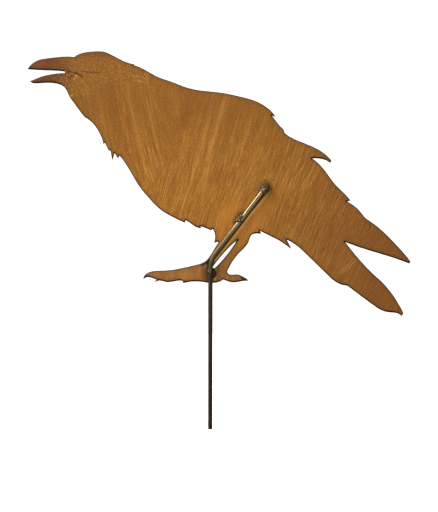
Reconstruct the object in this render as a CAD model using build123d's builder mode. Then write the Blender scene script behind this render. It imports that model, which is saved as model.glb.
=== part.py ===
"""Crow garden stake: a flat sheet-steel crow with one bent round bar welded to its rear face.

Millimetres, +Z up. The origin is on the axis of the stake at the ground line, which is the level
of the claws. The crow lies in the XZ plane with its beak towards -X, and the bar is on its -Y side.
"""

import os
from math import atan2, cos, degrees, sin, tan

from build123d import *

# Stock sizes
BAR_DIAMETER = 5.0
PLATE_THICKNESS = 2.0
ROOT_GAP = 0.05  # hairline left between the bar and the plate, which the welds bridge
END_CHAMFER = 0.4  # broken edge on the sawn lower end of the bar

# Route of the bar's axis, (x, z)
BAR_TOP = (69.0, 118.0)
ANKLE_BEND = (1.2, 29.5)
STAKE_LENGTH = 183.0  # straight part below the ground line
ANKLE_RADIUS = 27.0
EASE_LENGTH = 2.5  # tangent length of the slight bend that brings the bar upright at z = 0

# Welds: length along the bar, thickness across it
END_WELD = (13.0, 11.0)
TACK_WELD = (16.0, 5.0)
FOOT_WELD_LEFT = (12.0, 5.0)
FOOT_WELD_RIGHT = (12.0, 5.2)
TACK_FROM_TOP = 49.0  # along the bar, from its upper end to the middle of the tack
LEFT_WELD_LEVEL = 14.5  # heights of the two foot welds above the ground line
RIGHT_WELD_LEVEL = 12.0

BAR_RADIUS = BAR_DIAMETER / 2
PLATE_FRONT = BAR_RADIUS + ROOT_GAP
LEFT = 1
RIGHT = -1

# The crow's outline, (x, z), clockwise from the tip of the upper beak. Each stretch is a smooth
# curve, or a straight cut where it has one point, and ends at a corner of the outline, where the
# next one starts.
OUTLINE = [
    # beak, crown and back
    [(-222.5, 274), (-214, 278.5), (-203, 280.5), (-182, 282.5), (-170, 282)],
    [(-163.5, 286), (-154, 288.2), (-142, 289.2), (-132, 288.2), (-122.5, 284), (-113, 279),
     (-95.5, 273)],
    [(-97, 272)],
    [(-83, 266.5), (-68, 258), (-50, 251.5), (-33, 244.8), (-16, 240.6), (12, 237.5),
     (37, 232.5), (56, 227), (75, 215), (81, 208)],
    # shoulder feathers
    [(76, 210)],
    [(81, 203), (87.5, 195), (91.5, 190.5), (92, 187.5)],
    [(96.5, 184), (119, 173.5), (140, 163), (151, 152.5)],
    [(149.5, 150.5)],
    [(145, 153.5), (138.5, 155.5), (126, 156)],
    # rump and upper edge of the tail
    [(137, 147), (156.5, 122), (170.5, 108), (174.5, 103)],
    [(169.5, 102)],
    [(175, 99), (186, 90), (193, 81.5), (204, 73.5), (216, 63.5), (231, 48.5), (243.5, 34.5),
     (250, 26.5)],
    [(248.5, 24.5)],
    # fork of the tail
    [(237, 29), (213.5, 36.5), (190.5, 43.5), (167.5, 52)],
    [(184.5, 30.5), (202, 12), (216, -1), (227.5, -15), (241, -38)],
    [(239, -41)],
    # lower edge of the tail
    [(234.5, -38), (220.5, -36), (202, -26), (185, -13.5), (171, -3)],
    [(163, -1.5), (156, 2), (146.5, 10.5), (126.5, 30), (110.5, 45), (94.5, 55)],
    [(100.5, 43)],
    [(86.5, 53), (73, 60), (61, 66)],
    [(63, 61.5)],
    [(56, 62), (51.5, 60.5), (48, 53), (35.5, 37.5), (22, 17.5), (20.5, 14)],
    # hind toe
    [(23, 10.5), (33.5, 10), (40.5, 7.5), (47, 3)],
    [(36.5, 2), (28, 1), (20, 3), (16, 4.5)],
    # sole and claws
    [(6, 0.5), (-2.5, 0.5), (-13.5, 2), (-24, 2), (-33.5, 0)],
    [(-35, 3)],
    [(-45, 2.4), (-56, 1.6), (-61, 3), (-69, 1)],
    [(-67, 4.5)],
    [(-71.5, 6), (-79, 7.5), (-83.5, 5)],
    # upper side of the toe and front of the leg
    [(-82.5, 8.5), (-77.5, 12.5), (-69, 14.5), (-54.5, 15), (-38, 17.5), (-18, 22), (-6.5, 26.5),
     (4, 40.5), (10, 49.5)],
    # thigh feathers
    [(10, 52)],
    [(5, 50.5)],
    [(6, 61), (3, 68)],
    [(1, 66)],
    [(-6, 69), (-13, 71.5)],
    [(-12, 68.5)],
    [(-19, 71), (-27, 76.5), (-31.5, 79)],
    [(-32, 75.5)],
    # belly and breast
    [(-47.5, 83), (-63, 92.5), (-75, 104.5), (-88, 120), (-100, 140), (-114, 160)],
    [(-115.5, 156)],
    [(-120, 163.5)],
    [(-122.5, 154)],
    [(-124.5, 165.5)],
    [(-127, 166)],
    [(-132, 176)],
    [(-133.5, 174)],
    [(-135.5, 181.5), (-140.2, 191), (-150, 203), (-157, 207.5)],
    [(-166, 219), (-171.5, 227)],
    # throat and lower beak
    [(-177.5, 236.5), (-182, 244.5), (-194, 250), (-206, 250.5), (-222, 250)],
    [(-225, 252)],
    # mouth
    [(-218, 255), (-206, 259), (-195, 261), (-182, 262)],
    [(-181, 264.5)],
    [(-190, 265.5), (-214, 266.5), (-228, 267.5)],
]

# The slit between the two legs, written in the same way, from its upper end
LEG_SLIT = [
    [(27, 43), (19.5, 33), (6, 18.5)],
    [(3.5, 18), (2.5, 20)],
    [(8.5, 28), (17, 38), (25.5, 47), (34.5, 54.5)],
]


def trace(stretches):
    """Draw a closed outline in the current BuildLine from stretches that end at its corners."""
    corner = stretches[-1][-1]
    for stretch in stretches:
        if len(stretch) == 1:
            Line(corner, stretch[0])
        else:
            Spline(corner, *stretch)
        corner = stretch[-1]


def direction(start, end):
    """Unit vector (x, z) from start to end, both (x, z)."""
    angle = atan2(end[1] - start[1], end[0] - start[0])
    return cos(angle), sin(angle)


def seat(start, towards, distance):
    """A plane on the face of the plate, at a distance along the bar from start, with x along it."""
    x, z = towards
    spot = (start[0] + distance * x, PLATE_FRONT, start[1] + distance * z)
    return Plane(origin=spot, x_dir=(x, 0, z), z_dir=(0, -1, 0))


def weld_bead(place, size, side=0):
    """Lay half a round-ended bead on the plate, over the bar or in the corner beside it."""
    length, thickness = size
    offset = side * (thickness / 2 + ROOT_GAP)
    long_axis = Axis(place.from_local_coords((0, offset, 0)), place.x_dir)
    with BuildSketch(place) as profile:
        with Locations((0, offset)):
            SlotOverall(length, thickness)
            Rectangle(length, thickness, align=(Align.CENTER, Align.MAX), mode=Mode.SUBTRACT)
    revolve(profile.sketch, axis=long_axis, revolution_arc=180)
    add(stake_rod.part, mode=Mode.SUBTRACT)


# The two directions of the bar above the ground line, and where the lower one ends
lean_foot = (0, EASE_LENGTH)
up_leg = direction(ANKLE_BEND, BAR_TOP)
up_ankle = direction(lean_foot, ANKLE_BEND)
lean = atan2(up_ankle[0], up_ankle[1])

with BuildPart() as crow_plate:
    with BuildSketch(Plane.XZ.offset(-PLATE_FRONT)):
        with BuildLine():
            trace(OUTLINE)
        make_face()
        with BuildLine():
            trace(LEG_SLIT)
        make_face(mode=Mode.SUBTRACT)
    extrude(amount=-PLATE_THICKNESS)

with BuildPart() as stake_rod:
    with BuildLine(Plane.XZ) as bar_axis:
        FilletPolyline(
            BAR_TOP,
            ANKLE_BEND,
            lean_foot,
            (0, -STAKE_LENGTH),
            radius=[ANKLE_RADIUS, EASE_LENGTH / tan(lean / 2)],
        )
    with BuildSketch(bar_axis.line ^ 0):
        Circle(BAR_RADIUS)
    sweep()
    chamfer(stake_rod.edges().sort_by(Axis.Z)[0], END_CHAMFER)

with BuildPart() as weld_upper_end:
    weld_bead(seat(BAR_TOP, up_leg, 0), END_WELD)

with BuildPart() as weld_middle:
    weld_bead(seat(BAR_TOP, up_leg, -TACK_FROM_TOP), TACK_WELD, LEFT)

with BuildPart() as weld_foot_left:
    weld_bead(seat(lean_foot, up_ankle, LEFT_WELD_LEVEL - EASE_LENGTH), FOOT_WELD_LEFT, LEFT)

with BuildPart() as weld_foot_right:
    weld_bead(seat(lean_foot, up_ankle, RIGHT_WELD_LEVEL - EASE_LENGTH), FOOT_WELD_RIGHT, RIGHT)

PIECES = {
    "crow_plate": crow_plate,
    "stake_rod": stake_rod,
    "weld_upper_end": weld_upper_end,
    "weld_middle": weld_middle,
    "weld_foot_left": weld_foot_left,
    "weld_foot_right": weld_foot_right,
}

os.makedirs("parts", exist_ok=True)
for name, piece in PIECES.items():
    piece.part.label = name
    export_step(piece.part, f"parts/{name}.step")

ankle_turn = 90 - degrees(atan2(up_leg[1], up_leg[0])) - degrees(lean)
print("bend at the ankle", round(ankle_turn, 1), "degrees, lean below it", round(degrees(lean), 1))
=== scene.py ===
"""Looks of the crow garden stake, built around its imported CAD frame.

Metres, +Z up, in the frame of the CAD model: the crow lies in the XZ plane with its beak towards -X,
and the bar is welded to its -Y face. Sizes are written in millimetres, times MM.
"""

import math
from collections import defaultdict

import bmesh
import bpy
import numpy as np
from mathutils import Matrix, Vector, noise
from mathutils.geometry import delaunay_2d_cdt
from mathutils.kdtree import KDTree


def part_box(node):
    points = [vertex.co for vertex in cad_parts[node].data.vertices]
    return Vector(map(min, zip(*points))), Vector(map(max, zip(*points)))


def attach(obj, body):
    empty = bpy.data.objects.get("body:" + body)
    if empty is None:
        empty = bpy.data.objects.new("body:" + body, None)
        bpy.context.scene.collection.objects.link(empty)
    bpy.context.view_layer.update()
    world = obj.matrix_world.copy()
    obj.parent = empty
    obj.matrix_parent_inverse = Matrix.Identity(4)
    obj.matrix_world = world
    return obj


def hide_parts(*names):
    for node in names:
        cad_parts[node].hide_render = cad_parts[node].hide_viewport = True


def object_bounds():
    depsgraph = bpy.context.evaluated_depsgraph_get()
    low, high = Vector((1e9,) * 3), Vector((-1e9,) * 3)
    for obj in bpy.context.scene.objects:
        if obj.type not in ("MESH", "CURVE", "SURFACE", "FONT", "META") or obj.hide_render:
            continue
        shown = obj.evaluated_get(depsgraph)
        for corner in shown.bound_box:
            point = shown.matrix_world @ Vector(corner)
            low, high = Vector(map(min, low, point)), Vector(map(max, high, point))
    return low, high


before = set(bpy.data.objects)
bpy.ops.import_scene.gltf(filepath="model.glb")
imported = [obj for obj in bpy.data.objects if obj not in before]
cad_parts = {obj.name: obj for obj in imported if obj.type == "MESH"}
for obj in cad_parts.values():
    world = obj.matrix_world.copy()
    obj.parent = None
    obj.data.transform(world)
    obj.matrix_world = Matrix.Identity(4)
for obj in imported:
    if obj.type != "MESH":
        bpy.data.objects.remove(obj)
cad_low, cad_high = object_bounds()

MM = 0.001
BODY = "root"

# Camera: level and square to the plate
CAMERA_DISTANCE = 2500 * MM
CAMERA_AIM_X = 10.75 * MM
CAMERA_AIM_Z = 33.5 * MM
VIEW_HEIGHT = 640 * MM  # what the long side of the picture takes in, at the plate
SENSOR = 36.0

# Plate
CONTOUR_STEP = 0.8 * MM
GRID_STEP = 4 * MM
RIM_STEP = 1 * MM
RIM_REACH = 3 * MM  # how far in from the cut edge the mesh is fine
RIM_CLEAR = 0.3 * MM  # how near the cut edge a point of the fine mesh may stand
BEVEL_WIDTH = 1.0 * MM  # rounding of the cut edge on the -Y face
BEVEL_DROOP = 1.0 * MM  # what is added where the edge faces down
BEVEL_DEPTH = 0.9 * MM
BACK_BEVEL_WIDTH = 0.5 * MM
BACK_BEVEL_DEPTH = 0.25 * MM
DROSS = 0.45 * MM  # bead of slag left along the cut, outside the CAD outline
DROSS_BELOW = 0.1 * MM  # what is added where the edge faces down
KERF_WANDER = 0.2 * MM  # unevenness of the cut
KERF_SLOW = 7 * MM  # lengths of its slow and of its quick waves
KERF_QUICK = 1.7 * MM
HOLLOW_AT = 0.45  # where through its thickness the cut edge is hollow
HOLLOW_WANDER = 0.2  # how far that place moves either way
HOLLOW_DEPTH = 0.03 * MM
SHEET_WAVE = 0.2 * MM  # how far the sheet is from flat
WAVE_LENGTH = 70 * MM

# Route of the bar's axis, (x, z), within 0.5 mm of the CAD model's
BAR_TOP = Vector((68.6, 118.3)) * MM
ANKLE_BEND = Vector((0.9, 29.7)) * MM
LEAN_FOOT = Vector((0, 2.5)) * MM
STAKE_END_X = -0.3 * MM
ANKLE_RADIUS = 27 * MM

# Surface of the bar
BAR_RADIUS = 2.5 * MM
BAR_SCALE = 0.32 * MM  # thickness of the scale and rust on the bar
END_CHAMFER = 0.4 * MM
BAR_RINGS = 1 * MM  # spacing of the rings of its mesh
BAR_SIDES = 48
BAR_DENTS = ((6 * MM, 0.05 * MM), (1.8 * MM, 0.03 * MM))  # (length, depth) of its unevenness
BAR_WORN = 0.04 * MM  # what the scale is short of its thickness on average
SAW_PITCH = 0.7 * MM  # spacing, length and depth of the marks on the sawn ends
SAW_LENGTH = 4 * MM
SAW_DEPTH = 0.06 * MM

# Welds: length along the bar, width across it, height above the plate, squareness of the shoulders,
# and how far the bead stands to the right of its CAD shape and up the bar from it
WELD_SIZES = {
    "weld_upper_end": (13.5, 10.0, 6.6, 2.5, -0.3, -2.3),
    "weld_middle": (16.0, 9.0, 6.0, 2.4, 0.8, -1.0),
    "weld_foot_left": (9.5, 6.0, 6.1, 2.3, 1.5, 0.0),
    "weld_foot_right": (11.0, 5.4, 3.0, 2.0, 1.4, 0.0),
}
SOOT_AND_SHADE_BEADS = {"weld_foot_right": 0.7}  # welds darkened all over, by soot and by painted shade where the bead lies in the bar's shadow
WELD_SINK = 0.5 * MM  # how far a bead goes into the plate
RIPPLE_STEP = 0.42 * MM  # how far along a bead its ripples advance by two radians
# Lumps, knobs and grit: how fine they are over the unit ball that a bead is made from, and how much
# they and the ripples swell it
LUMP_FINENESS = 1.6
KNOB_FINENESS = 3.4
GRIT_FINENESS = 11
LUMP_SWELL = 0.2
KNOB_SWELL = 0.09
GRIT_SWELL = 0.01
RIPPLE_SWELL = 0.015
TOE_FINENESS = 6  # the toe of a bead runs out unevenly over the plate
TOE_SPREAD = 0.14
SPATTER_DROPS = {"weld_upper_end": 9, "weld_middle": 5}
SPATTER_TURN = 2.4  # radians from each drop to the next one round the weld
SPATTER_RADIUS = 0.35  # of the smallest drop, and what is added at most, in millimetres
SPATTER_EXTRA = 0.4
SPATTER_SEED = 1794991709  # noise_vector is otherwise seeded by the clock

# Patina: the wiping strokes on the neck swing round one centre, and the rest fan out from another.
# From here on, places on the plate are (x, z) in millimetres.
NECK_CENTRE = (686, 358)
NECK_REACH = 800
FAN_CENTRE = (-372, -1148)
FAN_REACH = 1350
FAN_FROM = -75  # where the fan starts at BELLY_LEVEL, and how far right of it for each mm up
FAN_SLANT = 0.42
BELLY_LEVEL = 116

# Strokes that stand out: x, z, length, width, how much lighter
HEAVY_STROKES = [
    (-152, 222, 74, 3.5, 0.7),
    (-135, 210, 62, 3.5, 0.7),
    (-119, 214, 110, 11, -0.5),
    (-92, 185, 165, 4.5, 1.1),
    (-76, 190, 90, 4.5, -0.5),
    (-69, 179, 150, 4.0, 0.9),
    (-69, 228, 44, 4.0, 0.6),
    (-40, 206, 78, 7.0, 0.5),
    (-28, 214, 70, 18, -0.45),
    (4.5, 178, 150, 8.5, 1.2),
    (-15, 160, 100, 4.5, 0.7),
    (9, 138, 38, 14, -0.6),
    (48, 191, 80, 11, 0.4),
    (67, 160, 26, 11, 0.5),
    (81, 153, 24, 5, -0.8),
    (83, 97, 60, 7, 0.6),
    (118, 116, 56, 4, 0.5),
    (137, 91, 50, 4, 0.5),
    (163, 16, 34, 6, 0.6),
    (170, 40, 26, 9, 0.4),
]

# Marks on the side of the bar. Each row starts with x, z, length, width; lean is clockwise from
# upright, in degrees, and amount is how much of the mark's colour shows.
# orange patches beside the bar, partly painted light over the bar's shade
ORANGE_AND_PAINTED_LIGHT = [  # then amount; all lean with the bar
    (49, 77, 84, 24, 0.8),
    (20, 84, 42, 20, 0.45),
]
ROUGH_PATCHES = [  # then lean, amount, colour as display values
    (-168, 250, 50, 24, 110, 0.7, (190, 144, 76)),
    (-125, 264, 110, 36, 98, 0.5, (190, 142, 74)),
    (-172, 262.5, 20, 9, 95, 0.9, (204, 156, 88)),
]
MOUTH_MARKS = [  # then lean
    (-177, 264, 8, 2.4, 78),
    (-168, 262, 9, 2.6, 102),
    (-173, 258.5, 9, 1.8, 62),
    (-162, 259, 7, 2, 130),
    (-150, 263.4, 26, 1.2, 92),
]
SCRATCHES = [  # then lean, amount
    (-88, 252, 13, 1.3, 105, 0.3),
    (-84, 256, 9, 1.2, 120, 0.3),
    (-92, 258, 9, 1.2, 95, 0.3),
    (120, 130, 26, 1.2, 36, 0.3),
    (128, 128, 22, 1.2, 34, 0.3),
    (112, 140, 18, 1.1, 35, 0.3),
    (171, 20, 24, 1.3, 35, 0.35),
    (176, 22, 22, 1.2, 36, 0.35),
    (166, 17, 14, 1.3, 34, 0.35),
    (-173.5, 234, 4, 2.2, 50, 0.6),
]
FLECKS = [  # x, z, size
    (166, 85.6, 2.2),
    (199, 71.9, 2.2),
    (68, 128, 3),
    (80, 128, 2),
    (61, 126, 2),
]
DARK_PATCHES = [  # then lean, amount, colour: beside the foot weld, in the ankle, and on the claws
    (-6, 12, 20, 10, 0, 0.6, (88, 58, 28)),
    (-4.5, 28.5, 21, 8, 50, 0.95, (32, 22, 15)),
    (43, 5.5, 11, 5, 115, 0.95, (44, 31, 21)),
    (-82.5, 6.5, 8, 5, 60, 0.8, (44, 31, 21)),
    (-67.5, 3, 7, 4, 60, 0.9, (44, 31, 21)),
    (-34, 1.2, 7, 3.5, 75, 0.8, (44, 31, 21)),
]
SHADOW_LINES = [  # painted shadow beside the bar: start, end, how far right of the line the shadow's middle is, half its width
    ((1, 30), (69, 118), 2.3, 2.6),
    ((0, 2), (1, 30), 0.0, 4.6),
]
LIT_LINE_RIGHT = 6.2  # how far right of the same lines a painted light line goes down the plate, beyond the bar's painted shadow
BAR_LEAN = 37.5  # of the bar's slanting part, clockwise from upright, in degrees
SCORCH_AMOUNT = 0.8
SCORCH_RINGS = [  # size against the weld's, amount, colour as display values
    (2.0, 0.5, (122, 84, 36)),
    (1.35, 0.9, (62, 48, 24)),
]

# Stage
FLOOR_REACH = 6.0  # from the stake to the edges of the floor
FLOOR_DROP = 0.5 * MM  # how far the floor is below the end of the stake
FLOOR_GLOW = 0.85
LIGHTS = [  # name, direction from the crow, distance, width and height in metres, brightness
    ("front_softbox", (0.05, -0.93, 0.3), 2.6, 2.4, 2.4, 1.0),
    ("right_fill", (0.62, -0.68, -0.38), 2.4, 2.0, 2.0, 0.8),
    ("left_softbox", (-0.780, -0.19, 0.597), 1.8, 1.0, 1.5, 16.0),
    ("back_softbox", (0.35, 0.87, 0.35), 2.6, 2.4, 2.4, 1.2),
]


def srgb(red, green, blue):
    """A colour given as 0 to 255 display values, as linear RGBA."""
    parts = [v / 255 for v in (red, green, blue)]
    linear = [v / 12.92 if v < 0.04045 else ((v + 0.055) / 1.055) ** 2.4 for v in parts]
    return (*linear, 1.0)


# ---------------------------------------------------------------- materials


class Graph:
    """A material's node tree, built by short calls that take and give sockets or plain values."""

    def __init__(self, name):
        self.material = bpy.data.materials.new(name)
        self.material.use_nodes = True
        self.tree = self.material.node_tree
        self.tree.nodes.clear()
        spot = self.node("ShaderNodeTexCoord").outputs["Object"]
        self.place = self.node(
            "ShaderNodeVectorMath", {0: spot, "Scale": 1 / MM}, operation="SCALE"
        ).outputs[0]
        self.x, self.y, self.z = self.node("ShaderNodeSeparateXYZ", {0: self.place}).outputs

    def node(self, kind, inputs=None, **settings):
        made = self.tree.nodes.new(kind)
        for key, value in settings.items():
            setattr(made, key, value)
        for key, value in (inputs or {}).items():
            if isinstance(value, bpy.types.NodeSocket):
                self.tree.links.new(value, made.inputs[key])
            else:
                made.inputs[key].default_value = value
        return made

    def calc(self, operation, *values):
        return self.node("ShaderNodeMath", dict(enumerate(values)), operation=operation).outputs[0]

    def add(self, *values):
        total = values[0]
        for value in values[1:]:
            total = self.calc("ADD", total, value)
        return total

    def times(self, *values):
        total = values[0]
        for value in values[1:]:
            total = self.calc("MULTIPLY", total, value)
        return total

    def fade(self, value, start, end, low=0.0, high=1.0):
        """Goes smoothly from low where value is start to high where it is end."""
        inputs = {"Value": value, "From Min": start, "From Max": end, "To Min": low, "To Max": high}
        return self.node(
            "ShaderNodeMapRange", inputs, interpolation_type="SMOOTHSTEP"
        ).outputs[0]

    def vector(self, x, y, z):
        return self.node("ShaderNodeCombineXYZ", {0: x, 1: y, 2: z}).outputs[0]

    def noise(self, vector, size=1.0, detail=2.0, roughness=0.5, distortion=0.0):
        """Noise from 0 to 1, with features about size long in the vector's units."""
        inputs = {
            "Vector": vector,
            "Scale": 1 / size,
            "Detail": detail,
            "Roughness": roughness,
            "Distortion": distortion,
        }
        return self.node("ShaderNodeTexNoise", inputs).outputs[0]

    def cells(self, vector, size):
        """Distance to the nearest of many scattered points, in cells."""
        return self.node("ShaderNodeTexVoronoi", {"Vector": vector, "Scale": 1 / size}).outputs[0]

    def mix(self, factor, first, second, blend="MIX"):
        made = self.node("ShaderNodeMix", data_type="RGBA", blend_type=blend)
        for index, value in ((0, factor), (6, first), (7, second)):
            if isinstance(value, bpy.types.NodeSocket):
                self.tree.links.new(value, made.inputs[index])
            else:
                made.inputs[index].default_value = value
        return made.outputs[2]

    def scaled(self, colour, factor):
        """The colour made brighter or darker."""
        return self.node(
            "ShaderNodeVectorMath", {0: colour, "Scale": factor}, operation="SCALE"
        ).outputs[0]

    def ramp(self, value, stops):
        made = self.node("ShaderNodeValToRGB", {0: value})
        marks = made.color_ramp.elements
        while len(marks) < len(stops):
            marks.new(0.5)
        for mark, (position, colour) in zip(marks, stops):
            mark.position = position
            mark.color = colour
        return made.outputs[0]

    def attribute(self, name):
        return self.node("ShaderNodeAttribute", attribute_name=name).outputs["Fac"]

    def spot(self, x, z, length, width=None, lean=0.0, soft=0.5, ragged=0.0):
        """A patch of the XZ plane: 1 inside, 0 outside. Lean is clockwise from upright, in degrees."""
        width = length if width is None else width
        angle = math.radians(lean)
        dx = self.add(self.x, -x)
        dz = self.add(self.z, -z)
        along = self.add(self.times(dx, math.sin(angle)), self.times(dz, math.cos(angle)))
        across = self.add(self.times(dx, math.cos(angle)), self.times(dz, -math.sin(angle)))
        u = self.times(along, 2 / length)
        v = self.times(across, 2 / width)
        reach = self.calc("SQRT", self.add(self.times(u, u), self.times(v, v)))
        if ragged:
            rough = self.noise(self.place, size=max(0.8, min(length, width) / 3), detail=3)
            reach = self.add(reach, self.times(self.add(rough, -0.5), ragged))
        return self.fade(reach, 1 + soft, 1 - soft)

    def polar(self, x, z, reach):
        """Distance round a place, measured at the given reach, and distance from it."""
        dx = self.add(self.x, -x)
        dz = self.add(self.z, -z)
        away = self.calc("SQRT", self.add(self.times(dx, dx), self.times(dz, dz)))
        return self.times(self.calc("ARCTAN2", dx, dz), reach), away

    def line(self, start, end):
        """Distance along a line from start, and signed distance across it, right of it positive."""
        span = Vector(end) - Vector(start)
        ahead = span.normalized()
        dx = self.add(self.x, -start[0])
        dz = self.add(self.z, -start[1])
        along = self.add(self.times(dx, ahead.x), self.times(dz, ahead.y))
        across = self.add(self.times(dx, ahead.y), self.times(dz, -ahead.x))
        return along, across

    def bump(self, height, distance, normal=None, strength=1.0):
        inputs = {"Height": height, "Distance": distance, "Strength": strength}
        if normal is not None:
            inputs["Normal"] = normal
        return self.node("ShaderNodeBump", inputs).outputs[0]

    def finish(self, colour, roughness, normal, **others):
        """The surface itself. The others are named as the shader's own sockets are."""
        inputs = {"Base Color": colour, "Roughness": roughness, "Normal": normal}
        inputs.update({key.replace("_", " "): value for key, value in others.items()})
        shader = self.node("ShaderNodeBsdfPrincipled", inputs)
        self.node("ShaderNodeOutputMaterial", {"Surface": shader.outputs[0]})
        return self.material


def polar_place(x, z, centre, reach):
    """What Graph.polar gives at one place."""
    dx, dz = x - centre[0], z - centre[1]
    return math.atan2(dx, dz) * reach, math.hypot(dx, dz)


def heavy_strokes(g, neck_strokes, fan_strokes):
    """How much lighter or darker the strokes that stand out make the plate."""
    total = 0.0
    for x, z, length, width, amount in HEAVY_STROKES:
        if x - FAN_SLANT * (z - BELLY_LEVEL) < FAN_FROM:
            across, along = neck_strokes
            at_along, at_across = polar_place(x, z, NECK_CENTRE, NECK_REACH)
        else:
            across, along = fan_strokes
            at_across, at_along = polar_place(x, z, FAN_CENTRE, FAN_REACH)
        beside = g.calc("ABSOLUTE", g.add(across, -at_across))
        beyond = g.calc("ABSOLUTE", g.add(along, -at_along))
        mask = g.times(g.fade(beside, width * 0.75, 0.0), g.fade(beyond, length / 2, length / 4))
        total = g.add(total, g.times(mask, amount))
    return total


def with_marks(g, colour, front):
    """The colour with the rough spots, dark marks, scratches and flecks of the bar's side."""
    crust = g.fade(g.noise(g.place, size=2.2, detail=4, roughness=0.7), 0.52, 0.66)
    for x, z, length, width, lean, amount, tint in ROUGH_PATCHES:
        rough = g.spot(x, z, length, width, lean=lean, soft=0.6, ragged=0.6)
        colour = g.mix(g.times(crust, rough, front, amount), colour, srgb(*tint))
    for x, z, length, width, lean in MOUTH_MARKS:
        mark = g.spot(x, z, length, width, lean=lean, soft=0.6, ragged=1.3)
        colour = g.mix(g.times(mark, front, 0.95), colour, srgb(78, 40, 16))
    for x, z, length, width, lean, amount in SCRATCHES:
        scratch = g.spot(x, z, length, width, lean=lean, soft=0.6, ragged=0.7)
        colour = g.mix(g.times(scratch, front, amount), colour, srgb(206, 160, 92))
    for x, z, size in FLECKS:
        fleck = g.spot(x, z, size, ragged=0.5)
        colour = g.mix(g.times(fleck, front, 0.7), colour, srgb(92, 44, 24))
    return colour


def with_scorch(g, colour, front, mottle, welds):
    """The colour with scorched rings round the welds, and painted shadow and a painted light line
    beside the bar.
    """
    either_side = g.fade(front, 0, 1, 0.3, 1)
    for x, z, length, width in welds:
        for size, part, tint in SCORCH_RINGS:
            burn = g.spot(x, z, length * size, width * size, lean=BAR_LEAN, soft=0.45, ragged=0.8)
            amount = g.times(burn, either_side, part, SCORCH_AMOUNT)
            colour = g.mix(amount, colour, srgb(*tint))
    for start, end, right, spread in SHADOW_LINES:
        along, across = g.line(start, end)
        length = math.dist(start, end)
        within = g.times(front, g.fade(along, -2, 5), g.fade(along, length + 2, length - 4))
        ragged = g.add(across, g.times(g.add(mottle, -0.5), 1.6), g.fade(g.z, 102, 84, 0, 0.7))
        # Painted light: a lighter line down the plate just beyond the bar's shadow
        lit_line = g.fade(g.calc("ABSOLUTE", g.add(ragged, -LIT_LINE_RIGHT)), 2.0, 0.7)
        lit_line = g.times(lit_line, within, g.fade(g.z, 108, 84, 0.4, 0.85))
        colour = g.mix(lit_line, colour, srgb(220, 164, 90))
        # Painted shadow: a dark band on the plate along the bar, where the bar shades it
        off_middle = g.calc("ABSOLUTE", g.add(ragged, -right))
        soot_and_shade = g.fade(g.add(off_middle, g.fade(g.z, 90, 75, 0, -0.5)), spread, spread - 1)
        colour = g.mix(g.times(soot_and_shade, within, 0.93), colour, srgb(38, 18, 4))
    for x, z, length, width, lean, amount, tint in DARK_PATCHES:
        patch = g.spot(x, z, length, width, lean=lean, soft=0.35, ragged=0.5)
        colour = g.mix(g.times(patch, front, amount), colour, srgb(*tint))
    return colour


def with_cut_edges(g, colour):
    """The colour with dark scale on the cut edges, and painted shade that makes them darker and wider
    where they face down.
    """
    inset = g.attribute("inset")
    down = g.attribute("down")
    colour = g.scaled(colour, g.fade(inset, 0.5, 6.5, 0.84, 1.0))
    # Painted shade: the edge's scale goes near-black where the cut edge faces down, and the dark band
    # reaches further in there
    edge = g.mix(down, srgb(76, 54, 34), srgb(34, 22, 14))
    blotch = g.noise(g.place, size=2.5, detail=3)
    edge = g.scaled(edge, g.fade(blotch, 0.3, 0.7, 0.7, 1.25))
    reach = g.add(1.3, g.times(down, 0.6), g.times(g.add(blotch, -0.5), 0.6))
    return g.mix(g.fade(g.calc("SUBTRACT", inset, reach), 0.35, -0.25), colour, edge)


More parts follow.
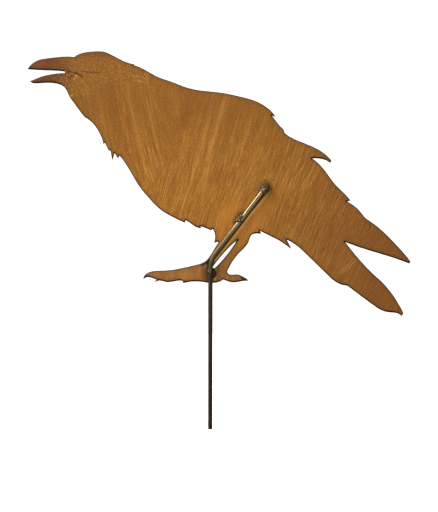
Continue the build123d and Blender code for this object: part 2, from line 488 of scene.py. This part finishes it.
def rust_patina(welds):
    """Even orange-brown rust, wiped on in long strokes, with dark cut edges and scorched welds."""
    g = Graph("rust_patina")

    # Each side of the sheet has its own strokes
    side = g.fade(g.y, 3.5, 3.6, 0.0, 37.0)
    front = g.fade(side, 1, 0)
    wander = g.times(g.add(g.noise(g.vector(g.x, side, g.z), size=90, detail=1), -0.5), 7)

    # Each family of strokes has a coordinate across the strokes and one along them
    swung, out = g.polar(*NECK_CENTRE, NECK_REACH)
    neck_strokes = (g.add(out, wander), swung)
    swung, out = g.polar(*FAN_CENTRE, FAN_REACH)
    fan_strokes = (g.add(swung, wander), out)
    edge_of_fan = g.add(
        g.x,
        g.times(g.add(g.z, -BELLY_LEVEL), -FAN_SLANT),
        g.times(g.add(g.noise(g.place, size=30, detail=3), -0.5), 40),
    )
    fan = g.fade(edge_of_fan, FAN_FROM - 10, FAN_FROM + 10)
    neck = g.calc("SUBTRACT", 1, fan)

    def strokes(width, length, detail=2.0, roughness=0.55):
        total = 0.0
        for share, (across, along) in ((neck, neck_strokes), (fan, fan_strokes)):
            spread = g.vector(
                g.times(across, 1 / width), g.times(along, 1 / length), g.add(side, 3.1 * width)
            )
            one = g.noise(spread, detail=detail, roughness=roughness)
            total = g.add(total, g.times(one, share))
        return total

    broad = strokes(11, 260, detail=1)
    middle = strokes(4.2, 120)
    fine = strokes(1.7, 50)
    hair = strokes(0.75, 17, detail=3, roughness=0.7)
    lines = strokes(1.2, 95, detail=1)
    cloud = g.noise(g.vector(g.x, side, g.z), size=50, detail=3, roughness=0.6)
    mottle = g.noise(g.vector(g.x, side, g.z), size=1.7, detail=4, roughness=0.8)

    # A few heavy strokes stand out on the side of the bar
    heavy = g.times(heavy_strokes(g, neck_strokes, fan_strokes), front, g.add(0.5, middle))

    # The strokes thin out on the head, the tail and the feet, which are plainer and more mottled
    head = g.spot(-190, 272, 150, 70, lean=96, soft=0.45, ragged=0.3)
    tail = g.fade(g.add(g.x, g.times(g.z, -0.6)), 110, 200)
    feet = g.times(g.fade(g.z, 50, 25), g.fade(g.x, 60, 50))
    plain = g.calc("MAXIMUM", g.calc("MAXIMUM", head, tail), g.times(feet, 0.6))
    strength = g.times(g.fade(plain, 0, 1, 1.0, 0.4), g.fade(g.z, 130, 215, 1.0, 0.45))
    tone = g.add(
        0.5,
        g.times(
            strength,
            g.add(
                g.times(g.add(broad, -0.5), 0.12),
                g.times(g.add(middle, -0.5), 0.22),
                g.times(g.add(fine, -0.5), 0.55),
                g.times(g.add(hair, -0.5), 1.9),
                g.times(g.fade(lines, 0.57, 0.7), 0.35),
            ),
        ),
        g.times(heavy, 0.2),
        g.times(g.add(cloud, -0.5), 0.22),
        g.times(g.add(mottle, -0.5), 1.9),
    )
    colour = g.ramp(
        tone,
        [
            (0.1, srgb(125, 75, 25)),
            (0.5, srgb(157, 98, 29)),
            (0.9, srgb(192, 136, 56)),
        ],
    )

    # Redder rust comes through in patches, and olive rust in others
    red = g.fade(g.noise(g.vector(g.x, g.z, side), size=24, detail=4, roughness=0.6), 0.5, 0.72)
    red = g.add(g.times(red, 0.35), g.times(g.fade(g.x, 80, 180), 0.25))
    colour = g.mix(red, colour, srgb(158, 88, 38))
    olive = g.fade(g.noise(g.vector(side, g.z, g.x), size=34, detail=4, roughness=0.65), 0.5, 0.7)
    colour = g.mix(g.times(olive, 0.35), colour, srgb(146, 104, 42))

    # Painted shade: the colour is brightest at the belly and darker towards the head, the back and the
    # tail, standing in for the light falling off there
    out_x = g.add(g.x, 10)
    out_z = g.add(g.z, -115)
    reach = g.calc("SQRT", g.add(g.times(out_x, out_x), g.times(out_z, out_z)))
    shade = g.times(
        g.fade(reach, 50, 210, 0.92, 0.83),
        g.fade(g.z, 120, 225, 1.0, 0.85),
        g.fade(g.x, 60, 220, 1.0, 0.78),
        g.fade(g.x, -110, -200, 1.0, 0.88),
    )
    colour = g.scaled(colour, shade)

    # Patchy, greyer feet, with one golden patch
    colour = g.mix(g.times(feet, 0.3), colour, srgb(148, 102, 64))
    patchy = g.noise(g.vector(g.x, side, g.z), size=9, detail=3, roughness=0.6)
    colour = g.scaled(colour, g.add(1, g.times(feet, g.add(patchy, -0.5), 0.8)))
    golden = g.spot(-34, 10, 12, 16, soft=0.8, ragged=0.8)
    colour = g.mix(g.times(golden, front, 0.4), colour, srgb(178, 120, 50))

    # Smooth dark beak, with a redder patch near its tip
    beak = g.spot(-216, 266, 78, 50, lean=96, soft=0.35, ragged=0.35)
    colour = g.mix(g.times(beak, 0.9), colour, srgb(102, 59, 27))
    redder = g.spot(-213, 274, 15, 7, lean=75, soft=0.6, ragged=0.9)
    colour = g.mix(g.times(redder, 0.35), colour, srgb(144, 66, 42))

    # Darker along the top of the head
    crown = g.spot(-140, 291, 90, 20, lean=90, soft=0.5, ragged=0.5)
    colour = g.mix(g.times(crown, front, 0.4), colour, srgb(98, 62, 28))

    # Brighter orange beside the bar: partly the rust's own colour, partly painted light that lifts the
    # shade the bar casts on the plate
    for x, z, length, width, amount in ORANGE_AND_PAINTED_LIGHT:
        glow = g.spot(x, z, length, width, lean=BAR_LEAN, soft=0.8, ragged=0.8)
        glow = g.times(glow, amount, g.add(0.5, middle), g.fade(front, 0, 1, 0.4, 1))
        colour = g.mix(glow, colour, srgb(196, 126, 46))

    colour = with_marks(g, colour, front)
    colour = with_scorch(g, colour, front, mottle, welds)
    colour = with_cut_edges(g, colour)

    grain = g.add(g.times(fine, 0.5), g.times(hair, 0.3), g.times(mottle, 0.6))
    pits = g.fade(g.cells(g.place, size=2.4), 0.05, 0.22)
    relief = g.bump(grain, 0.22 * MM, strength=0.6)
    relief = g.bump(pits, 0.04 * MM, normal=relief, strength=0.5)
    roughness = g.add(0.56, g.times(g.add(tone, -0.5), 0.2), g.times(g.add(mottle, -0.5), 0.2))
    return g.finish(colour, roughness, relief, Metallic=0.0, Specular_IOR_Level=0.15)


def dark_bar_steel():
    """Dark bar: glossy at its upper end, duller, darker and rustier further down."""
    g = Graph("dark_bar_steel")
    round_the_bar = g.vector(g.times(g.x, 1 / 2), g.times(g.y, 1 / 2), g.times(g.z, 1 / 9))
    drawn = g.noise(round_the_bar, detail=3, roughness=0.6)
    mottle = g.noise(g.place, size=5, detail=4, roughness=0.7)
    below = g.fade(g.z, 36, 10)
    tone = g.add(g.times(drawn, 0.4), g.times(mottle, 0.6))
    upper = g.ramp(
        tone, [(0.3, srgb(100, 80, 51)), (0.5, srgb(114, 94, 63)), (0.7, srgb(132, 110, 78))]
    )
    lower = g.ramp(
        tone, [(0.3, srgb(50, 38, 27)), (0.5, srgb(64, 51, 38)), (0.7, srgb(80, 66, 50))]
    )
    lower = g.scaled(lower, g.fade(g.z, -10, -120, 1.2, 0.75))
    colour = g.mix(below, upper, lower)
    rust = g.fade(g.noise(g.place, size=3.4, detail=4, roughness=0.7), 0.56, 0.7)
    worn = g.fade(g.z, 80, 58)
    colour = g.mix(g.times(rust, g.fade(worn, 0, 1, 0.25, 0.6)), colour, srgb(104, 72, 42))
    colour = g.scaled(colour, g.times(g.fade(g.z, 65, 58, 1, 0.85), g.fade(g.z, 45, 28, 1, 0.7)))
    pitting = g.noise(g.place, size=1.1, detail=3, roughness=0.6)
    relief = g.bump(pitting, 0.03 * MM, strength=0.3)
    relief = g.bump(drawn, 0.08 * MM, normal=relief, strength=0.25)
    dull = g.times(g.fade(mottle, 0.5, 0.66), g.fade(worn, 0, 1, 0.06, 0.2))
    roughness = g.add(0.19, g.times(worn, 0.31), g.times(below, 0.1), dull)
    metallic = g.add(0.85, g.times(worn, -0.35), g.times(below, -0.5))
    return g.finish(
        colour,
        roughness,
        relief,
        Metallic=metallic,
        Specular_IOR_Level=0.03,
        Coat_Weight=g.fade(worn, 0, 1, 0.7, 0.1),
        Coat_Roughness=0.12,
    )


def weld_metal():
    """Olive-grey weld metal with dark scale in its crevices."""
    g = Graph("weld_metal")
    slag = g.noise(g.place, size=2.2, detail=5, roughness=0.7)
    colour = g.ramp(
        slag, [(0.32, srgb(42, 30, 14)), (0.5, srgb(82, 66, 34)), (0.68, srgb(126, 106, 64))]
    )
    rust = g.fade(g.noise(g.place, size=3.1, detail=3, roughness=0.6), 0.55, 0.7)
    colour = g.mix(g.times(rust, 0.45), colour, srgb(112, 74, 36))
    colour = g.mix(g.attribute("crevice"), colour, srgb(30, 20, 8))
    # Soot and painted shade: a bead that lies in the bar's shadow is darkened all over
    colour = g.mix(g.attribute("soot_and_shade"), colour, srgb(20, 8, 4))
    fine = g.noise(g.place, size=0.6, detail=4, roughness=0.7)
    relief = g.bump(fine, 0.1 * MM, strength=0.4)
    roughness = g.fade(slag, 0.3, 0.7, 0.62, 0.38)
    return g.finish(colour, roughness, relief, Metallic=0.6, Specular_IOR_Level=0.5)


# ---------------------------------------------------------------- mesh helpers


def link_piece(name, bm, material, replaced, sharp=35):
    """Make a piece of the object from a bmesh: smooth-shaded, with hard edges where it turns."""
    for face in bm.faces:
        face.smooth = True
    for edge in bm.edges:
        edge.smooth = edge.calc_face_angle(0.0) < math.radians(sharp)
    mesh = bpy.data.meshes.new(name)
    bm.to_mesh(mesh)
    bm.free()
    mesh.materials.append(material)
    piece = bpy.data.objects.new(name, mesh)
    bpy.context.scene.collection.objects.link(piece)
    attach(piece, BODY)
    if replaced:
        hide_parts(replaced)
    return piece


def face_loops(mesh):
    """Outlines of a mesh's -Y face as arrays of (x, z), each with the metal on its left."""
    bm = bmesh.new()
    bm.from_mesh(mesh)
    bmesh.ops.remove_doubles(bm, verts=bm.verts, dist=0.001 * MM)
    bm.normal_update()
    front = {face for face in bm.faces if face.normal.y < -0.99}
    follows = defaultdict(list)
    for edge in bm.edges:
        if sum(face in front for face in edge.link_faces) == 1:
            first, second = edge.verts
            follows[first.index].append(second.index)
            follows[second.index].append(first.index)
    bm.verts.ensure_lookup_table()
    loops = []
    left = set(follows)
    while left:
        loop = [min(left)]
        ahead = follows[loop[0]][0]
        while ahead != loop[0]:
            loop.append(ahead)
            ahead = next(v for v in follows[ahead] if v != loop[-2])
        left -= set(loop)
        loops.append(np.array([(bm.verts[i].co.x, bm.verts[i].co.z) for i in loop]))
    bm.free()
    loops.sort(key=lambda loop: np.ptp(loop[:, 0]), reverse=True)
    for number, loop in enumerate(loops):
        after = np.roll(loop, -1, axis=0)
        area = (loop[:, 0] * after[:, 1] - after[:, 0] * loop[:, 1]).sum() / 2
        if (area > 0) == (number > 0):
            loops[number] = loop[::-1].copy()
    return loops


def divided(loop, step):
    """The loop with more points on its long edges."""
    points = []
    for start, end in zip(loop, np.roll(loop, -1, axis=0)):
        parts = max(1, math.ceil(np.hypot(*(end - start)) / step))
        points += [start + (end - start) * k / parts for k in range(parts)]
    return np.array(points)


def inward(loop):
    """Unit vector into the metal at each point of a loop."""
    along = np.roll(loop, -1, axis=0) - loop
    along /= np.linalg.norm(along, axis=1)[:, None]
    both = along + np.roll(along, 1, axis=0)
    both /= np.maximum(np.linalg.norm(both, axis=1), 1e-9)[:, None]
    return np.stack([-both[:, 1], both[:, 0]], axis=1)


def grid_inside(loops, step):
    """Points (x, z) of a staggered grid that lie inside the loops."""
    starts = np.vstack(loops)
    ends = np.vstack([np.roll(loop, -1, axis=0) for loop in loops])
    rows = np.arange(starts[:, 1].min() + step / 2, starts[:, 1].max(), step)
    points = []
    for number, z in enumerate(rows):
        crossing = (starts[:, 1] > z) != (ends[:, 1] > z)
        low, high = starts[crossing], ends[crossing]
        share = (z - low[:, 1]) / (high[:, 1] - low[:, 1])
        spans = np.sort(low[:, 0] + share * (high[:, 0] - low[:, 0]))
        shift = step / 2 if number % 2 else 0.0
        for left, right in zip(spans[::2], spans[1::2]):
            first = math.ceil((left - shift) / step) * step + shift
            points += [(x, z) for x in np.arange(first, right, step)]
    return np.array(points)


class Outline:
    """The cut outline of the plate, and how far a point is from it."""

    def __init__(self, loops):
        self.loops = loops
        self.points = np.vstack(loops)
        self.inward = np.vstack([inward(loop) for loop in loops])
        self.before = np.vstack([np.roll(loop, 1, axis=0) for loop in loops])
        self.after = np.vstack([np.roll(loop, -1, axis=0) for loop in loops])
        self.down = np.clip(self.inward[:, 1], 0, 1) ** 4
        self.tree = KDTree(len(self.points))
        for index, (x, z) in enumerate(self.points):
            self.tree.insert((x, z, 0), index)
        self.tree.balance()

    def near(self, point):
        """(distance to the outline, number of its nearest point)."""
        index = self.tree.find((point[0], point[1], 0))[1]
        here = self.points[index]
        best = math.inf
        for other in (self.before[index], self.after[index]):
            span = other - here
            share = np.clip(np.dot(point - here, span) / max(np.dot(span, span), 1e-18), 0, 1)
            best = min(best, math.hypot(*(point - here - share * span)))
        return best, index


def inner_points(outline, width):
    """Points inside the outline: rows that follow it where the edge rounds off, then a grid."""
    kept = []
    for share in (0.5, 1.0):
        for point, way, reach in zip(outline.points, outline.inward, width * share):
            spot = point + way * reach
            # Kept unless another stretch of the outline is nearer, as in a corner
            if outline.near(spot)[0] > 0.93 * reach:
                kept.append(spot)
    rows = KDTree(len(kept))
    for index, (x, z) in enumerate(kept):
        rows.insert((x, z, 0), index)
    rows.balance()
    for spot in grid_inside(outline.loops, RIM_STEP):
        away = outline.near(spot)[0]
        if RIM_CLEAR < away < RIM_REACH and rows.find((*spot, 0))[2] > 0.5 * RIM_STEP:
            kept.append(spot)
    for spot in grid_inside(outline.loops, GRID_STEP):
        if outline.near(spot)[0] > RIM_REACH + 0.3 * GRID_STEP:
            kept.append(spot)
    return np.array(kept)


def wave(x, z):
    """How far the sheet stands back from flat at a point, always away from the bar."""
    return SHEET_WAVE * (0.5 + 0.5 * noise.noise((x / WAVE_LENGTH, 0, z / WAVE_LENGTH)))


def sheet_face(bm, outline, width, depth, level, sign, layers):
    """One face of the plate, rounded off towards its outline. Returns the outline's vertices."""
    points = np.vstack([outline.points, inner_points(outline, width)])
    edges = []
    start = 0
    for loop in outline.loops:
        count = len(loop)
        edges += [(start + k, start + (k + 1) % count) for k in range(count)]
        start += count
    result = delaunay_2d_cdt([Vector(p) for p in points], edges, [], 1, 1e-8)
    spots, triangles, origins = result[0], result[2], result[3]
    hole = outline.loops[1:]
    first_hole = len(outline.loops[0])
    total = len(outline.points)
    made = []
    rim = {}
    for spot, sources in zip(spots, origins):
        away, index = outline.near(np.array(spot))
        on_rim = [s for s in sources if s < total]
        share = 0.0 if on_rim else min(1.0, away / width[index])
        drop = depth * (1 - share) ** 2
        vert = bm.verts.new((spot[0], level + sign * drop + wave(*spot), spot[1]))
        vert[layers["inset"]] = 0.0 if on_rim else away / MM
        vert[layers["down"]] = outline.down[index]
        made.append(vert)
        for source in on_rim:
            rim[source] = vert
    for triangle in triangles:
        sources = [min(origins[v]) if origins[v] else total for v in triangle]
        if all(first_hole <= s < total for s in sources):
            centre = sum((Vector(spots[v]) for v in triangle), Vector((0, 0))) / 3
            if any(encloses(loop, centre) for loop in hole):
                continue
        order = triangle if sign > 0 else triangle[::-1]
        bm.faces.new([made[v] for v in order])
    return [rim[k] for k in range(total)]


def encloses(loop, point):
    """True if the loop goes round the point."""
    after = np.roll(loop, -1, axis=0)
    crossing = (loop[:, 1] > point[1]) != (after[:, 1] > point[1])
    low, high = loop[crossing], after[crossing]
    share = (point[1] - low[:, 1]) / (high[:, 1] - low[:, 1])
    return bool((low[:, 0] + share * (high[:, 0] - low[:, 0]) > point[0]).sum() % 2)


def slagged(loop):
    """The loop with its bead of slag and the slight unevenness of a hand-guided cut."""
    moved = []
    for point, way in zip(loop, inward(loop)):
        x, z = point
        slow = noise.noise((x / KERF_SLOW, 3.0, z / KERF_SLOW))
        quick = noise.noise((x / KERF_QUICK, 9.0, z / KERF_QUICK))
        bead = DROSS + DROSS_BELOW * max(0.0, way[1])
        moved.append(point + way * (KERF_WANDER * (0.7 * slow + 0.3 * quick) - bead))
    return np.array(moved)


def make_plate(material):
    """The crow: two faces that meet in a scaly cut edge, wider where the edge faces down."""
    low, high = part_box("crow_plate")
    cut = face_loops(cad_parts["crow_plate"].data)
    loops = [slagged(divided(loop, CONTOUR_STEP)) for loop in cut]
    outline = Outline(loops)
    bm = bmesh.new()
    layers = {key: bm.verts.layers.float.new(key) for key in ("inset", "down")}
    front_width = BEVEL_WIDTH + BEVEL_DROOP * outline.down
    back_width = np.full(len(outline.points), BACK_BEVEL_WIDTH)
    front = sheet_face(bm, outline, front_width, BEVEL_DEPTH, low.y, 1, layers)
    back = sheet_face(bm, outline, back_width, BACK_BEVEL_DEPTH, high.y - SHEET_WAVE, -1, layers)
    middle = []
    for number, (near, far) in enumerate(zip(front, back)):
        drag = KERF_WANDER * noise.noise((number * 0.7, 5.0, 0.0))
        way = outline.inward[number]
        share = HOLLOW_AT + HOLLOW_WANDER * noise.noise((number * 0.31, 1.0, 0.0))
        hollow = Vector((way[0], 0, way[1])) * (drag * 0.5 + HOLLOW_DEPTH)
        vert = bm.verts.new(near.co.lerp(far.co, share) + hollow)
        vert[layers["inset"]] = 0
        vert[layers["down"]] = outline.down[number]
        middle.append(vert)
    start = 0
    for loop in loops:
        count = len(loop)
        for k in range(count):
            a, b = start + k, start + (k + 1) % count
            bm.faces.new((front[a], middle[a], middle[b], front[b]))
            bm.faces.new((middle[a], back[a], back[b], middle[b]))
        start += count
    bmesh.ops.recalc_face_normals(bm, faces=bm.faces)
    return link_piece("crow_sheet", bm, material, "crow_plate")


# ---------------------------------------------------------------- bar


def bar_route():
    """Points (x, z) on the bar's axis, evenly spaced from the top to the end of the stake."""
    end = Vector((STAKE_END_X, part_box("stake_rod")[0].z))
    corners = [BAR_TOP, ANKLE_BEND, LEAN_FOOT, end]
    lean = (ANKLE_BEND - LEAN_FOOT).angle(Vector((0, 1)))
    radii = [ANKLE_RADIUS, LEAN_FOOT.y / math.tan(lean / 2)]
    path = [corners[0]]
    for before, corner, after, radius in zip(corners, corners[1:], corners[2:], radii):
        back = (before - corner).normalized()
        ahead = (after - corner).normalized()
        half = back.angle(ahead) / 2
        centre = corner + (back + ahead).normalized() * radius / math.sin(half)
        first = corner + back * radius / math.tan(half) - centre
        last = corner + ahead * radius / math.tan(half) - centre
        turn = first.angle_signed(last)
        steps = max(2, math.ceil(abs(turn) * radius / BAR_RINGS))
        for k in range(steps + 1):
            angle = -turn * k / steps
            spoke = Vector(
                (
                    first.x * math.cos(angle) - first.y * math.sin(angle),
                    first.x * math.sin(angle) + first.y * math.cos(angle),
                )
            )
            path.append(centre + spoke)
    path.append(end)
    points = []
    for start, stop in zip(path, path[1:]):
        parts = max(1, round((stop - start).length / BAR_RINGS))
        points += [start.lerp(stop, k / parts) for k in range(parts)]
    return points + [end]


def make_bar(material):
    """The bent bar: slightly uneven drawn stock with a broken edge at each sawn end."""
    route = bar_route()
    count = len(route)
    bm = bmesh.new()
    rings = []
    for number, point in enumerate(route):
        ahead = route[min(number + 1, count - 1)] - route[max(number - 1, 0)]
        ahead.normalize()
        side = Vector((ahead.y, 0, -ahead.x))
        for_end = min(number, count - 1 - number)
        radius = BAR_RADIUS - (END_CHAMFER if for_end == 0 else 0)
        ring = []
        for k in range(BAR_SIDES):
            angle = math.tau * k / BAR_SIDES
            way = side * math.cos(angle) + Vector((0, 1, 0)) * math.sin(angle)
            spot = Vector((point.x, 0, point.y)) + way * (radius + BAR_SCALE)
            dent = sum(noise.noise(spot / size) * depth for size, depth in BAR_DENTS)
            ring.append(bm.verts.new(spot + way * (dent - BAR_WORN)))
        rings.append(ring)
    for near, far in zip(rings, rings[1:]):
        for k in range(BAR_SIDES):
            bm.faces.new((near[k], near[k - 1], far[k - 1], far[k]))
    for ring, point in ((rings[0], route[0]), (rings[-1], route[-1])):
        inner = ring
        for share in (0.66, 0.33):
            smaller = []
            for vert in ring:
                spot = Vector((point.x, 0, point.y)).lerp(vert.co, share)
                saw = noise.noise((spot.x / SAW_PITCH, spot.y / SAW_LENGTH, 2.0)) * SAW_DEPTH
                smaller.append(bm.verts.new(spot + Vector((0, 0, saw))))
            for k in range(BAR_SIDES):
                bm.faces.new((inner[k], inner[k - 1], smaller[k - 1], smaller[k]))
            inner = smaller
        hub = bm.verts.new((point.x, 0, point.y))
        for k in range(BAR_SIDES):
            bm.faces.new((inner[k], inner[k - 1], hub))
    bmesh.ops.recalc_face_normals(bm, faces=bm.faces)
    return link_piece("bent_bar", bm, material, "stake_rod")


# ---------------------------------------------------------------- welds


def up_the_bar(node):
    """The bar's direction beside a weld, in the XZ plane."""
    foot = "foot" in node
    way = ANKLE_BEND - LEAN_FOOT if foot else BAR_TOP - ANKLE_BEND
    way.normalize()
    return Vector((way.x, 0, way.y))


def weld_layers(bm):
    """The values that the weld material reads: dark hollows, and soot with painted shade all over."""
    return {key: bm.verts.layers.float.new(key) for key in ("crevice", "soot_and_shade")}


def make_weld(node, number, material):
    """A lumpy bead with the ripples of its runs, sunk a little into the plate."""
    length, width, height = (size * MM for size in WELD_SIZES[node][:3])
    square, shift_right, shift_up = WELD_SIZES[node][3:]
    low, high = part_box(node)
    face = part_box("crow_plate")[0].y
    centre = Vector(((low.x + high.x) / 2, face, (low.z + high.z) / 2))
    along = up_the_bar(node)
    across = Vector((along.z, 0, -along.x))
    centre += (across * shift_right + along * shift_up) * MM
    out = Vector((0, -1, 0))
    bm = bmesh.new()
    bmesh.ops.create_icosphere(bm, subdivisions=5, radius=1)
    layers = weld_layers(bm)
    shift = Vector((17.0 * number + 4, 0, 0))
    for vert in bm.verts:
        unit = vert.co.copy()
        lump = noise.fractal(unit * LUMP_FINENESS + shift, 0.8, 2.1, 3)
        knob = noise.noise(unit * KNOB_FINENESS + shift)
        grit = noise.noise(unit * GRIT_FINENESS + shift)
        ripple = math.sin(unit.x * length / RIPPLE_STEP + 2.2 * unit.y * unit.y + 3 * lump)
        swell = 1 + LUMP_SWELL * lump + KNOB_SWELL * knob + GRIT_SWELL * grit + RIPPLE_SWELL * ripple
        unit *= sum(abs(part) ** square for part in unit) ** (-1 / square)
        rise = unit.z * height if unit.z > 0 else unit.z * WELD_SINK
        flat = Vector((unit.x * length / 2, unit.y * width / 2)) * swell
        uneven = max(0.0, 1 - unit.z * 3) * noise.noise(unit * TOE_FINENESS + shift)
        spread = 1 + TOE_SPREAD * uneven
        vert.co = centre + along * flat.x * spread + across * flat.y * spread + out * rise * swell
        hollow = max(0.0, -lump * 1.1 - knob * 1.0 - grit * 0.5 - ripple * 0.12)
        toe = max(0.0, 1 - max(0.0, unit.z) / 0.32)
        vert[layers["crevice"]] = min(1.0, hollow + toe * 0.8)
        vert[layers["soot_and_shade"]] = SOOT_AND_SHADE_BEADS.get(node, 0.0)
    bmesh.ops.recalc_face_normals(bm, faces=bm.faces)
    return link_piece(node + "_bead", bm, material, node, sharp=60)


def make_spatter(material):
    """Small drops thrown out by the welds, stuck to the plate."""
    noise.seed_set(SPATTER_SEED)
    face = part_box("crow_plate")[0].y
    bm = bmesh.new()
    layers = weld_layers(bm)
    for node, count in SPATTER_DROPS.items():
        low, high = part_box(node)
        centre = (low + high) / 2
        for k in range(count):
            seed = noise.noise_vector((k * 1.7, centre.x * 40, 0.5))
            angle = SPATTER_TURN * k + seed.x
            reach = (high.x - low.x) * (0.55 + 0.5 * abs(seed.y))
            size = (SPATTER_RADIUS + SPATTER_EXTRA * abs(seed.z)) * MM
            spot = centre + Vector((math.cos(angle), 0, math.sin(angle))) * reach
            spot.y = face
            drop = bmesh.ops.create_icosphere(bm, subdivisions=3, radius=size)
            for vert in drop["verts"]:
                vert.co.y *= 0.8
                vert.co *= 1 + 0.15 * noise.noise(vert.co / size + seed * 9)
                vert.co += spot
                vert[layers["crevice"]] = 0.0
    return link_piece("weld_spatter", bm, material, None, sharp=60)


# ---------------------------------------------------------------- stage


def plain_material(name, colour, glow):
    made = bpy.data.materials.new(name)
    made.use_nodes = True
    shader = made.node_tree.nodes["Principled BSDF"]
    shader.inputs["Base Color"].default_value = colour
    shader.inputs["Roughness"].default_value = 0.9
    shader.inputs["Specular IOR Level"].default_value = 0.1
    shader.inputs["Emission Color"].default_value = (1, 1, 1, 1)
    shader.inputs["Emission Strength"].default_value = glow
    return made


def make_floor():
    """A wide pale floor at the end of the stake. It glows a little, as a lit sweep of paper does."""
    bm = bmesh.new()
    level = cad_low.z - FLOOR_DROP
    corners = ((-1, -1), (1, -1), (1, 1), (-1, 1))
    bm.faces.new([bm.verts.new((x * FLOOR_REACH, y * FLOOR_REACH, level)) for x, y in corners])
    bmesh.ops.subdivide_edges(bm, edges=bm.edges, cuts=8, use_grid_fill=True)
    mesh = bpy.data.meshes.new("floor")
    bm.to_mesh(mesh)
    bm.free()
    mesh.materials.append(plain_material("pale_floor", (0.9, 0.9, 0.9, 1), FLOOR_GLOW))
    floor = bpy.data.objects.new("floor", mesh)
    floor.visible_diffuse = False
    floor.visible_glossy = False
    bpy.context.scene.collection.objects.link(floor)


def make_world(for_camera, for_object):
    """White all round for the camera, and a softer even light on the object."""
    world = bpy.data.worlds.new("studio")
    bpy.context.scene.world = world
    world.use_nodes = True
    nodes = world.node_tree.nodes
    links = world.node_tree.links
    nodes.clear()
    seen = nodes.new("ShaderNodeLightPath")
    strength = nodes.new("ShaderNodeMapRange")
    strength.inputs["To Min"].default_value = for_object
    strength.inputs["To Max"].default_value = for_camera
    back = nodes.new("ShaderNodeBackground")
    back.inputs["Color"].default_value = (1, 1, 1, 1)
    out = nodes.new("ShaderNodeOutputWorld")
    links.new(seen.outputs["Is Camera Ray"], strength.inputs["Value"])
    links.new(strength.outputs[0], back.inputs["Strength"])
    links.new(back.outputs[0], out.inputs["Surface"])


def area_light(name, towards, distance, width, height, radiance):
    """A soft panel that shines on the crow from a direction, given its brightness."""
    aim = (cad_low + cad_high) / 2
    way = Vector(towards).normalized()
    data = bpy.data.lights.new(name, "AREA")
    data.shape = "RECTANGLE"
    data.size = width
    data.size_y = height
    data.energy = math.pi * width * height * radiance
    panel = bpy.data.objects.new(name, data)
    panel.location = aim + way * distance
    panel.rotation_euler = way.to_track_quat("Z", "Y").to_euler()
    panel.visible_camera = False
    bpy.context.scene.collection.objects.link(panel)


def make_camera():
    """A long lens, level and square to the plate."""
    data = bpy.data.cameras.new("camera")
    data.sensor_width = SENSOR
    data.lens = SENSOR * CAMERA_DISTANCE / VIEW_HEIGHT
    data.clip_end = 50
    camera = bpy.data.objects.new("camera", data)
    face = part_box("crow_plate")[0].y
    camera.location = (CAMERA_AIM_X, face - CAMERA_DISTANCE, CAMERA_AIM_Z)
    camera.rotation_euler = (math.radians(90), 0, 0)
    bpy.context.scene.collection.objects.link(camera)
    bpy.context.scene.camera = camera


def weld_places():
    """(x, z, length, width) of each weld, in millimetres."""
    for node, (length, width, *_others) in WELD_SIZES.items():
        low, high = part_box(node)
        middle = (low + high) / 2 / MM
        yield middle.x, middle.z, length, width


make_camera()
make_world(for_camera=1.2, for_object=0.4)
for light in LIGHTS:
    area_light(*light)
make_floor()

make_plate(rust_patina(list(weld_places())))
make_bar(dark_bar_steel())
weld_finish = weld_metal()
for number, node in enumerate(WELD_SIZES):
    make_weld(node, number, weld_finish)
make_spatter(weld_finish)

bpy.context.scene.view_settings.view_transform = "Standard"
